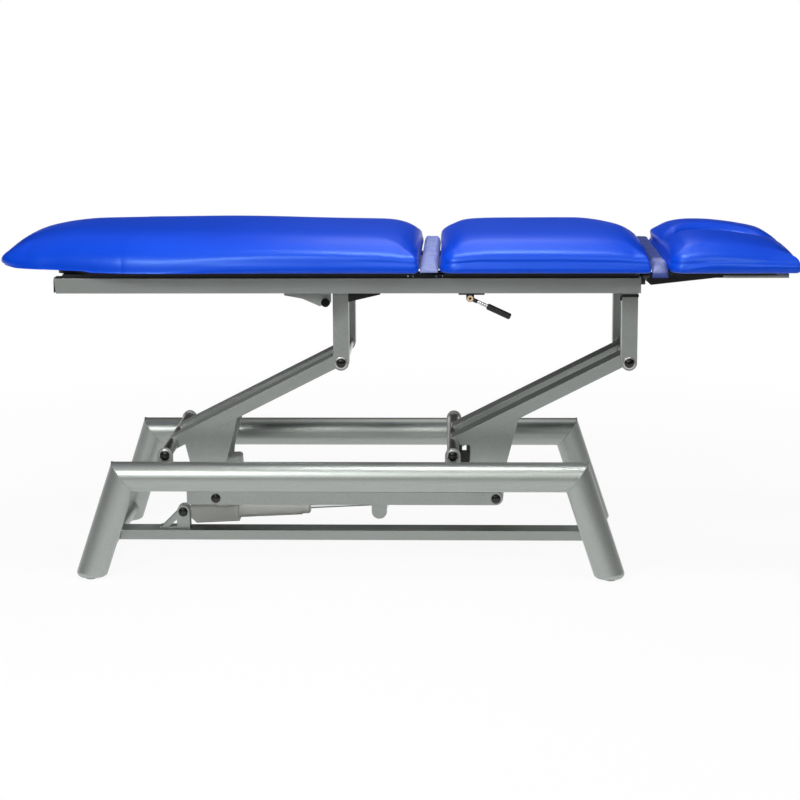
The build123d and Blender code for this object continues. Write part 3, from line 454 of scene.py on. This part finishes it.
# Hinge covers: a black plastic cap over each beam's hinge ear, with a small bright screw on the
# beam beside it.
for side in (-1, 1):
    near = "near" if side < 0 else "far"
    ear_cover = bmesh.new()
    lathe(ear_cover, [(0, 0), (0.0125, 0), (0.0130, 0.0004), (0.0130, 0.0016), (0.0118, 0.0024),
                      (0, 0.0030)], facing_out(HEAD_HINGE.x, side * 0.2282, HEAD_HINGE.z))
    low_y, high_y = sorted((side * 0.2282, side * 0.2302))
    add_block(ear_cover, (0.6066, low_y, 0.7478), (0.6190, high_y, 0.7800), 0.0008)
    finish_piece("hinge_cover_" + near, ear_cover, black_plastic, "top_frame")
    screw = bmesh.new()
    lathe(screw, [(0, 0), (0.0032, 0), (0.0034, 0.0006), (0.0030, 0.0022), (0.0018, 0.0030),
                  (0, 0.0032)], Matrix.Translation((0.6032, side * 0.2530, 0.7679)))
    finish_piece("hinge_screw_" + near, screw, bright_steel, "top_frame")

    # Long section's hinge leaf: a black strip on the beam with two bright studs.
    leaf = bmesh.new()
    low_y, high_y = sorted((side * 0.2235, side * 0.2560))
    add_block(leaf, (0.0245, low_y, 0.7681), (0.1085, high_y, 0.7765), 0.0008)
    finish_piece("hinge_leaf_" + near, leaf, black_coat, "top_frame")
    studs = bmesh.new()
    for stud_x in (0.036, 0.094):
        lathe(studs, [(0, 0), (0.0018, 0), (0.0020, 0.0005), (0.0016, 0.0012), (0, 0.0015)],
              facing_out(stud_x, side * 0.2560, 0.7725), 16)
    finish_piece("hinge_studs_" + near, studs, bright_steel, "top_frame")

    # Head rail: a silver bar along each side of the head board, under it.
    rail = bmesh.new()
    low_y, high_y = sorted((side * 0.2240, side * 0.2560))
    add_block(rail, (0.8100, low_y - 0.0006, 0.7674), (0.9738, high_y + 0.0006, 0.7779), 0.0006)
    finish_piece("head_rail_" + near, rail, silver_paint, "head_section")

# Section bracket cap: a black plastic disc on the bracket's pin beside the left column.
cap_shape = bmesh.new()
lathe(cap_shape, [(0, 0), (0.0108, 0), (0.0112, 0.0005), (0.0112, 0.0062), (0.0102, 0.0074),
                  (0, 0.0078)], facing_out(-0.186, -0.2375, 0.704))
finish_piece("bracket_pin_cap", cap_shape, black_plastic, "top_frame")

# Boards and hinges
# Plywood boards with black lacquer under each cushion, and the long section's bright hinge pin.
black_board, tree = new_finish("black_lacquered_plywood")
place = add_node(tree, "TexCoord").outputs["Object"]
grain_place = add_node(tree, "Mapping", {"Vector": place, "Scale": (6.0, 90.0, 90.0)})
grain = add_node(tree, "TexNoise", {"Vector": grain_place.outputs[0], "Scale": 4.0, "Detail": 5.0})
stain = add_node(tree, "Mix", {0: grain.outputs[0], 6: linear("090909"), 7: linear("17161A")},
                 data_type="RGBA")
skin = add_node(tree, "Bump", {"Height": grain.outputs[0], "Strength": 0.15, "Distance": 0.0005})
lacquer = add_node(tree, "BsdfPrincipled", {"Base Color": stain.outputs[2], "Roughness": 0.45,
                                            "Normal": skin.outputs[0]})
add_node(tree, "OutputMaterial", {"Surface": lacquer.outputs[0]})
dress(black_board, "long_panel", "centre_panel", "head_panel")

# Bright chrome: mirror plating on the rods and the hinge pin, with faint wiping marks.
chrome, tree = new_finish("bright_chrome_plate")
place = add_node(tree, "TexCoord").outputs["Object"]
wipes = add_node(tree, "TexNoise", {"Vector": place, "Scale": 60.0, "Detail": 3.0})
shine = add_node(tree, "MapRange", {0: wipes.outputs[0], 3: 0.06, 4: 0.16})
plate = add_node(tree, "BsdfPrincipled", {"Base Color": linear("D8DADC"), "Metallic": 1.0,
                                          "Roughness": shine.outputs[0]})
add_node(tree, "OutputMaterial", {"Surface": plate.outputs[0]})
dress(chrome, "actuator_rod", "release_rod", "hinge_pin")

# Actuator
# Light grey ABS housings of the spindle drive: its body, its motor and the sleeve that the
# chromed rod slides in.
grey_plastic, tree = new_finish("light_grey_abs")
place = add_node(tree, "TexCoord").outputs["Object"]
spark = add_node(tree, "TexNoise", {"Vector": place, "Scale": 650.0, "Detail": 2.0})
tint = add_node(tree, "Mix", {0: spark.outputs[0], 6: linear("B6B9B5"), 7: linear("C4C6C2")},
                data_type="RGBA")
skin = add_node(tree, "Bump", {"Height": spark.outputs[0], "Strength": 0.18, "Distance": 0.0004})
shell = add_node(tree, "BsdfPrincipled", {"Base Color": tint.outputs[2], "IOR": 1.54,
                                          "Roughness": 0.48, "Normal": skin.outputs[0]})
add_node(tree, "OutputMaterial", {"Surface": shell.outputs[0]})
dress(grey_plastic, "actuator_body", "actuator_motor", "actuator_sleeve")

# Release lever
# Chromed rod on a cream plastic bush, with a moulded black rubber grip that has a rounded end.
dress(black_rubber, "release_grip")
cream_bush, tree = new_finish("cream_acetal_bush")
place = add_node(tree, "TexCoord").outputs["Object"]
mottle = add_node(tree, "TexNoise", {"Vector": place, "Scale": 300.0, "Detail": 2.0})
tint = add_node(tree, "Mix", {0: mottle.outputs[0], 6: linear("D9B98E"), 7: linear("EBD2AE")},
                data_type="RGBA")
bush = add_node(tree, "BsdfPrincipled", {"Base Color": tint.outputs[2], "Roughness": 0.35})
add_node(tree, "OutputMaterial", {"Surface": bush.outputs[0]})
bush_shape = bmesh.new()
lathe(bush_shape, [(0.0032, 0), (0.0074, 0), (0.0078, 0.0004), (0.0078, 0.0014), (0.0070, 0.0020),
                   (0.0036, 0.0020), (0.0032, 0.0016)], facing_out(0.179, -0.2541, 0.716))
finish_piece("lever_bush", bush_shape, cream_bush, "release_lever")

# Thread: the rod's ridged half by the grip, and a black sleeve on the half by the hub.
low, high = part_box("release_grip")
hub = Vector((0.179, -0.249, 0.716))
grip_middle = (low + high) / 2
LEVER_DIP, GRIP_HALF = math.radians(25), 0.0325
rod_way = Vector((math.cos(LEVER_DIP), 0, -math.sin(LEVER_DIP)))
grip_start = (grip_middle - hub).dot(rod_way) - GRIP_HALF
rod_place = Matrix.Translation(hub) @ rod_way.to_track_quat("Z", "Y").to_matrix().to_4x4()
ridges = [(0.0034, grip_start - 0.0170)]
for ridge in range(9):
    foot = grip_start - 0.0165 + ridge * 0.0018
    ridges += [(0.0040, foot), (0.0052, foot + 0.0006), (0.0052, foot + 0.0010),
               (0.0040, foot + 0.0015)]
ridges.append((0.0034, grip_start + 0.0004))
thread = bmesh.new()
lathe(thread, ridges, rod_place, 28)
finish_piece("rod_thread", thread, chrome, "release_lever", 25.0)
sleeve = bmesh.new()
lathe(sleeve, [(0.0034, 0.0090), (0.0049, 0.0092), (0.0052, 0.0100), (0.0052, 0.0190),
               (0.0048, 0.0200), (0.0034, 0.0202)], rod_place, 28)
finish_piece("rod_sleeve", sleeve, black_plastic, "release_lever")

# Stop buffer
# A forked black rubber block on the right arm's near lever plate, beside the lower pivot.
BUFFER_OUTER, BUFFER_INNER = -0.1130, -0.1082
buffer_shape = bmesh.new()
add_block(buffer_shape, (0.1500, BUFFER_OUTER, 0.2400), (0.1790, BUFFER_INNER, 0.2960), 0.0015)
for prong_x in (0.1500, 0.1700):
    add_block(buffer_shape, (prong_x, BUFFER_OUTER, 0.2900),
              (prong_x + 0.0090, BUFFER_INNER, 0.3085), 0.0015)
finish_piece("stop_buffer", buffer_shape, black_rubber, "right_arm")

# Cushions
# Foam pads in smooth blue vinyl. The foam bulges over a firm border roll at the lower edge and
# leaves a crease there, deepest at the corners by the gaps and fading along the sides.
blue_vinyl, tree = new_finish("blue_upholstery_vinyl")
place = add_node(tree, "TexCoord").outputs["Object"]
pebble = add_node(tree, "TexVoronoi", {"Vector": place, "Scale": 480.0}, feature="F1")
cloud = add_node(tree, "TexNoise", {"Vector": place, "Scale": 5.0, "Detail": 3.0})
colour_mix = add_node(tree, "Mix", {0: cloud.outputs[0], 6: linear("0040D0"), 7: linear("0047DC")},
               data_type="RGBA")
rub = add_node(tree, "MapRange", {0: cloud.outputs[0], 3: 0.33, 4: 0.40})
skin = add_node(tree, "Bump", {"Height": pebble.outputs[0], "Strength": 0.05, "Distance": 0.0006})
vinyl = add_node(tree, "BsdfPrincipled", {"Base Color": colour_mix.outputs[2], "IOR": 1.55,
                                          "Specular Tint": (0.45, 0.78, 1.0, 1.0),
                                          "Roughness": rub.outputs[0], "Normal": skin.outputs[0]})
add_node(tree, "OutputMaterial", {"Surface": vinyl.outputs[0]})


def evaluated_mesh(piece):
    """The piece's mesh with its modifiers applied; the modifiers are then removed."""
    shown = piece.evaluated_get(bpy.context.evaluated_depsgraph_get())
    mesh = bpy.data.meshes.new_from_object(shown)
    piece.modifiers.clear()
    old, piece.data = piece.data, mesh
    bpy.data.meshes.remove(old)


def read_rows(mesh, kind):
    """Places ("co") or directions ("normal") of all vertices, one row each."""
    values = np.empty(len(mesh.vertices) * 3, dtype=np.float32)
    mesh.vertices.foreach_get(kind, values)
    return values.reshape(-1, 3).astype(float)


def write_rows(mesh, rows):
    mesh.vertices.foreach_set("co", rows.astype(np.float32).ravel())
    mesh.update()


def ease(value, low, high):
    share = np.clip((value - low) / (high - low), 0.0, 1.0)
    return share * share * (3 - 2 * share)


# The cushions' solids; the border roll and the dome that the drape gives them; the narrowing of
# the long one's left end, with the length over which its sides turn in; the crease, and the dip
# round the face hole; the air that puffs them, with the most that it may move a point.
PAD_BOTTOM, PAD_HALF, PAD_EDGE_TOP, PAD_ROUND = 0.790, 0.325, 0.860, 0.041
ROLL_MIDDLE, ROLL_HALF, ROLL_DEPTH, DOME_LIFT = 0.802, 0.013, 0.0016, 0.0100
TAPER_X, TAPER_SLOPE, TAPER_BLEND = -0.690, 0.31, 0.05
CREASE_DEPTH, CREASE_HALF, HOLE_DIP, HOLE_REACH = 0.0016, 0.0035, 0.008, 0.026
AIR_INSET, AIR_PRESSURE, AIR_FRAMES, AIR_LIMIT = 0.002, 4.0, 20, 0.0025

# The sway of the tops and the puckers' height; how far the lower edge hangs, the free ends reach
# out and the foot end bulges; how far two left ends lean and one corner sinks.
SWAY, PUCKER = 0.0004, 0.0003
EDGE_HANG, FOOT_REACH, FOOT_BULGE, HEAD_REACH = 0.0035, 0.029, 0.009, 0.010
HEAD_LEAN, CENTRE_LEAN, CENTRE_SINK = 0.013, 0.009, 0.015


def quarter_rise(rim, run):
    """Share of the full height reached over a quarter of a circle, at a distance from its foot."""
    return np.sqrt(1 - np.clip(1 - rim / run, 0.0, 1.0) ** 2)


def crowned_rise(rim, run):
    """As steep at its foot, but it goes on rising gently to the middle of the pad."""
    return np.sqrt(1 - np.clip(1 - rim / PAD_HALF, 0.0, 1.0) ** (2 * PAD_HALF / run))


def pull_cover(rows, out, ends, crown, corner, runs, line, depth, taper=False, fall=0.0,
               puckers=(), hole=None):
    """Moves a swollen pad's points to the drape of its cover; returns the new rows."""
    x, y, z = rows.T.copy()
    (left, right), side = ends, np.sign(y)
    walls = 1 - ease(np.abs(out[:, 2]), 0.55, 0.9)
    lean = TAPER_SLOPE * (x < TAPER_X) if taper else 0.0 * x
    skew = np.sqrt(1 + lean ** 2)
    half = PAD_HALF - lean * (TAPER_X - x)
    rim_x, rim_y = np.minimum(x - left, right - x), (half - np.abs(y)) / skew
    share = (x - left) / (right - left)
    radius = np.where(share < 0.5, corner[0], corner[1])

    # Distance from the outline, also round the plan corners and for points that swelled past it.
    from_x = radius - rim_x
    from_y = skew * (radius - rim_y) - lean * from_x
    both = (from_x > lean * from_y) & (from_y > 0)
    rim = np.where(both, radius - np.hypot(from_x, from_y), np.minimum(rim_x, rim_y))
    top = PAD_EDGE_TOP - fall * share
    wall_top = top - PAD_ROUND
    turn = np.arctan2(np.maximum(z - wall_top, 0.0), PAD_ROUND - rim)
    rim = np.where(rim < PAD_ROUND, PAD_ROUND * (1 - np.cos(turn)), rim)

    # A dome from the border's crease to the crowned top replaces the solid's even rounding. It is
    # wider along the sides than at the ends.
    crease = np.interp(x, *line)
    swell = DOME_LIFT + crown[0] * ease(x, crown[1], crown[2]) * ease(x, crown[4], crown[3])
    end_run, side_run = np.where(share < 0.5, runs[0], runs[1]), runs[2]
    along = crowned_rise(np.where(rim_x < rim_y, rim, rim_x), end_run)
    across = crowned_rise(np.where(rim_x < rim_y, rim_y, rim), side_run)
    sine = from_y ** 2 / (from_x ** 2 + from_y ** 2 + 1e-9)
    at_end, at_side = crowned_rise(radius, end_run), crowned_rise(radius, side_run)
    round_corner = (crowned_rise(rim, end_run + (side_run - end_run) * sine)
                    * (at_side + (at_end - at_side) * sine))
    height = np.where(both, round_corner, along * across)
    dome = (crease + (top + swell - crease) * height
            - wall_top - PAD_ROUND * quarter_rise(rim, PAD_ROUND))
    wall = (z - PAD_BOTTOM) * ((crease - PAD_BOTTOM) / (wall_top - PAD_BOTTOM) - 1)
    z += np.where(z > wall_top, dome, wall * (z > PAD_BOTTOM))
    if hole:
        ring = np.maximum(np.hypot((x - hole[0]) / hole[1], y / hole[2]) - 1, 0.0)
        edge = ring * (hole[1] + hole[2]) / 2
        z -= HOLE_DIP * np.exp(-(edge / HOLE_REACH) ** 2) * ease(z, crease, top)

    # Border roll, crease and the bulge over it, a faint sway of the top, and fine puckers round
    # the corners that have them.
    strength = np.maximum(depth[0] * (1 - ease(x - left, 0.03, depth[2])),
                          depth[1] * (1 - ease(right - x, 0.03, depth[2])))
    strength = np.maximum(strength, depth[3])
    bordered = ease(crease, 0.796, 0.808)
    roll = np.clip(1 - ((z - ROLL_MIDDLE) / ROLL_HALF) ** 2, 0.0, 1.0)
    gap = z - crease
    push = ROLL_DEPTH * (roll - 0.8) * (1 - ease(gap, 0.0, 0.030)) * walls * bordered
    push -= CREASE_DEPTH * strength * walls * np.exp(-(gap / CREASE_HALF) ** 2)
    sway = SWAY * (np.sin(13 * x + 5 * y) + np.sin(9 * x - 11 * y + 1.3)) * ease(z, 0.82, 0.85)
    for corner_x, corner_y in puckers:
        turn = np.arctan2(y - corner_y, x - corner_x)
        near = 1 - ease(np.hypot(x - corner_x, y - corner_y), 0.080, 0.105)
        folds = np.cos(turn * 34 + (z - PAD_BOTTOM) * 500) * (1 - ease(z, 0.806, 0.830))
        push += PUCKER * folds * near * walls
    x, y, z = np.array((x, y, z)) + (push + sway) * out.T

    # The lower edge hangs over the board's edge, and the free ends reach out. The left ends of the
    # centre and head pads lean over their gaps at the far side, and the centre pad's far right
    # corner sinks.
    low = 1 - ease(z, PAD_BOTTOM + 0.001, PAD_BOTTOM + 0.012)
    z -= EDGE_HANG * low * (1 - ease(PAD_HALF - np.abs(y), 0.028, 0.036))
    if taper:
        softened = TAPER_SLOPE * TAPER_BLEND * np.log1p(np.exp((TAPER_X - x) / TAPER_BLEND))
        y = side * np.abs(y) * (PAD_HALF - softened) / half
        y *= 1 - 0.10 * ease(-x, 0.90, 1.00)
        x -= FOOT_REACH * ease(-x, 0.86, 0.985)
        x -= FOOT_BULGE * ease(-x, 0.94, 1.0) * (np.exp(-((z - 0.812) / 0.018) ** 2) - 0.6 * low)
        z += 0.004 * ease(-x, 0.965, 1.005) * low
    if hole:
        x += HEAD_REACH * ease(x, 0.90, 0.98)
        x -= HEAD_LEAN * ease(y, -0.10, 0.28) * (1 - ease(x, 0.668, 0.74)) * ease(z, 0.812, 0.835)
    if not (taper or hole):
        x -= CENTRE_LEAN * ease(z, 0.812, 0.840) * (1 - ease(x, 0.099, 0.150)) * ease(y, -0.2, 0.2)
        z -= CENTRE_SINK * ease(x, 0.46, 0.62) * ease(y, 0.0, 0.28) * ease(z, 0.81, 0.86)
    return np.array((x, y, z)).T


def upholster(name, node, body, voxel, **drape):
    """Cushion from its CAD solid: remeshed, puffed by air pressure, then draped."""
    shape = bmesh.new()
    shape.from_mesh(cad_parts[node].data)
    bmesh.ops.remove_doubles(shape, verts=shape.verts, dist=1e-5)
    pad = finish_piece(name, shape, blue_vinyl, None, 180.0)
    remesh = pad.modifiers.new("even_grid", "REMESH")
    remesh.mode, remesh.voxel_size, remesh.use_smooth_shade = "VOXEL", voxel, True
    evaluated_mesh(pad)
    start = read_rows(pad.data, "co")
    free = ease(start[:, 2], PAD_BOTTOM + 0.002, PAD_BOTTOM + 0.018)
    start -= read_rows(pad.data, "normal") * (AIR_INSET * free)[:, None]
    write_rows(pad.data, start)
    held = pad.vertex_groups.new(name="held")
    for number in np.flatnonzero(free < 1):
        held.add([int(number)], 1 - float(free[number]), "REPLACE")
    cloth = pad.modifiers.new("air", "CLOTH")
    cloth.settings.quality = 5
    cloth.settings.vertex_group_mass = "held"
    cloth.settings.use_pressure = True
    cloth.settings.uniform_pressure_force = AIR_PRESSURE
    cloth.settings.effector_weights.gravity = 0.0
    cloth.collision_settings.use_collision = False
    for step in range(1, AIR_FRAMES + 1):
        bpy.context.scene.frame_set(step)
    evaluated_mesh(pad)
    bpy.context.scene.frame_set(1)
    move = read_rows(pad.data, "co") - start
    length = np.maximum(np.linalg.norm(move, axis=1, keepdims=True), 1e-9)
    write_rows(pad.data, start + move * np.minimum(1.0, AIR_LIMIT / length))
    relax = pad.modifiers.new("relax", "SMOOTH")
    relax.factor, relax.iterations = 0.5, 5
    finer = pad.modifiers.new("finer", "SUBSURF")
    finer.levels = finer.render_levels = 1
    evaluated_mesh(pad)
    rows, out = read_rows(pad.data, "co"), read_rows(pad.data, "normal")
    write_rows(pad.data, pull_cover(rows, out, **drape))
    settle = pad.modifiers.new("settle", "SMOOTH")
    settle.factor, settle.iterations = 0.5, 3
    evaluated_mesh(pad)
    pad.data.shade_smooth()
    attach(pad, body)
    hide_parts(node)


# Drapes: crown is how high the middle rises and where it starts, is full, starts to fall and
# ends; corner the plan corners' radii at both ends; runs the dome's at both ends and the sides;
# line the crease's heights by length; depth its depth at both ends, its reach and least depth;
# fall how much lower the right end is; hole the face hole's middle, half length and half width.
upholster("long_pad", "long_cushion", "long_section", 0.008, ends=(-0.987, 0.055), taper=True,
          crown=(0.0085, -0.98, -0.80, -0.50, 0.0), corner=(0.070, 0.047),
          runs=(0.09, 0.075, 0.12), depth=(0.0, 0.8, 0.24, 0.0),
          line=((-0.60, -0.32, -0.20, -0.05, 0.03), (0.7935, 0.815, 0.8185, 0.8165, 0.811)))
upholster("centre_pad", "centre_cushion", "top_frame", 0.006, ends=(0.099, 0.629),
          crown=(0.001, 0.1, 0.3, 0.4, 0.6), corner=(0.047, 0.047),
          runs=(0.075, 0.085, 0.115), depth=(0.9, 0.5, 0.26, 0.3),
          line=((0.12, 0.20, 0.40, 0.55, 0.62), (0.810, 0.8165, 0.8175, 0.814, 0.810)))
upholster("head_pad", "head_cushion", "head_section", 0.005, ends=(0.668, 0.986), fall=0.017,
          crown=(0.005, 0.67, 0.77, 0.80, 0.95), corner=(0.047, 0.070),
          runs=(0.085, 0.10, 0.11), depth=(0.8, 0.0, 0.14, 0.0),
          line=((0.68, 0.80, 0.98), (0.810, 0.8125, 0.806)),
          puckers=((0.901, -0.230), (0.901, 0.230)), hole=(0.826, 0.112, 0.070))

# Gap covers
# Strips of thin coated cloth, stapled under the cushions, that arch over the two hinge gaps and
# end in a straight hem. The left one is gathered into small pleats; the right one is smooth.
# The left cover's cloth is blue; its pale blue-violet colour, varied by fine threads, is that blue
# lightened as a painted sheen.
painted_sheen_cloth, tree = new_finish("thin_cloth_painted_sheen")
place = add_node(tree, "TexCoord").outputs["Object"]
threads = add_node(tree, "TexNoise", {"Vector": place, "Scale": 640.0, "Detail": 2.0})
colour_mix = add_node(tree, "Mix", {0: threads.outputs[0], 6: linear("5F6EAA"), 7: linear("8490C8")},
               data_type="RGBA")
skin = add_node(tree, "Bump", {"Height": threads.outputs[0], "Strength": 0.15,
                               "Distance": 0.0004})
cloth_coat = add_node(tree, "BsdfPrincipled", {"Base Color": colour_mix.outputs[2], "Roughness": 0.45,
                                               "Normal": skin.outputs[0], "Sheen Weight": 0.2})
add_node(tree, "OutputMaterial", {"Surface": cloth_coat.outputs[0]})

# The right cover's cloth is deep blue: its own blue, darkened further as painted shade from the
# head pad. A cloudy pale patch above the fold over the near edge is a painted highlight.
cloth_painted_shade_and_highlight, tree = new_finish("blue_cloth_painted_shade_and_highlight")
place = add_node(tree, "TexCoord").outputs["Object"]
split = add_node(tree, "SeparateXYZ", {0: place})
# Mask of the painted highlight: towards the near edge, above the fold, broken up by a cloud.
wear_and_painted_highlight = add_node(tree, "MapRange", {0: split.outputs[1], 1: -0.200, 2: -0.255})
cloud = add_node(tree, "TexNoise", {"Vector": place, "Scale": 22.0, "Detail": 3.0})
above_fold = add_node(tree, "MapRange", {0: split.outputs[2], 1: 0.7865, 2: 0.7895})
painted_highlight_over_fold = add_math(tree, "MULTIPLY", wear_and_painted_highlight.outputs[0], above_fold.outputs[0])
painted_highlight_patch = add_math(tree, "MULTIPLY", painted_highlight_over_fold,
                 add_node(tree, "MapRange", {0: cloud.outputs[0], 1: 0.3, 2: 0.6}).outputs[0])
# Deep blue with painted shade, turning to the pale painted highlight in the patch.
colour_mix = add_node(tree, "Mix", {0: painted_highlight_patch, 6: linear("15307F"), 7: linear("8089BE")},
               data_type="RGBA")
painted_light_cloth_shader = add_node(tree, "BsdfPrincipled", {"Base Color": colour_mix.outputs[2], "Roughness": 0.45,
                                              "Sheen Weight": 0.1})
add_node(tree, "OutputMaterial", {"Surface": painted_light_cloth_shader.outputs[0]})


def gap_cover(name, node, x_low, x_high, hem, pleats, material):
    """Arched strip between two cushions that curves down at its ends to a straight hem."""
    sheet = bmesh.new()
    bmesh.ops.create_grid(sheet, x_segments=24, y_segments=460, size=0.5)
    half, slope_run, foot, crest, level = 0.318, 0.055, 0.7960, 0.0180, 0.80
    for vertex in sheet.verts:
        u, along = vertex.co.x + 0.5, vertex.co.y * 2
        side = -1 if along < 0 else 1
        turn = max(abs(along) - level, 0.0) / (1 - level) * math.pi / 2
        y = side * (min(abs(along), level) / level * (half - slope_run)
                    + slope_run * math.sin(turn))
        arch = 1 - abs(2 * u - 1) ** 6
        fallen = 1 - math.cos(turn)
        fold = 0.0007 * math.sin(31 * y + 4 * u) + 0.0005 * math.sin(73 * y + 2.0)
        if pleats:
            slant = y + 0.016 * (u - 0.5) * (0.6 + y) + 0.004 * math.sin(23 * y + 3 * u)
            phase = math.tau * (slant / 0.036 + 0.15 * math.sin(9 * y))
            fold += 0.0042 * (abs(math.cos(phase / 2)) ** 4 - 0.35)
            fold += 0.0012 * math.cos(phase * 2.3 + 1)
        fold *= (0.25 + 0.75 * arch) * (1 - fallen ** 6)
        top = foot + crest * arch
        vertex.co = Vector((x_low + (x_high - x_low) * u, y + side * fold * math.sin(turn) * 0.8,
                            top + (hem - top) * fallen + fold * math.cos(turn)))
    cover = finish_piece(name, sheet, material, None, 180.0)
    thick = cover.modifiers.new("cloth", "SOLIDIFY")
    thick.thickness, thick.offset = 0.0008, 0.0
    evaluated_mesh(cover)
    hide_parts(node)
    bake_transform(cover)


gap_cover("gap_cloth_left", "gap_cover_left", 0.0548, 0.0992, 0.7895,
          True, painted_sheen_cloth)
gap_cover("gap_cloth_right", "gap_cover_right", 0.6288, 0.6682, 0.7760,
          False, cloth_painted_shade_and_highlight)
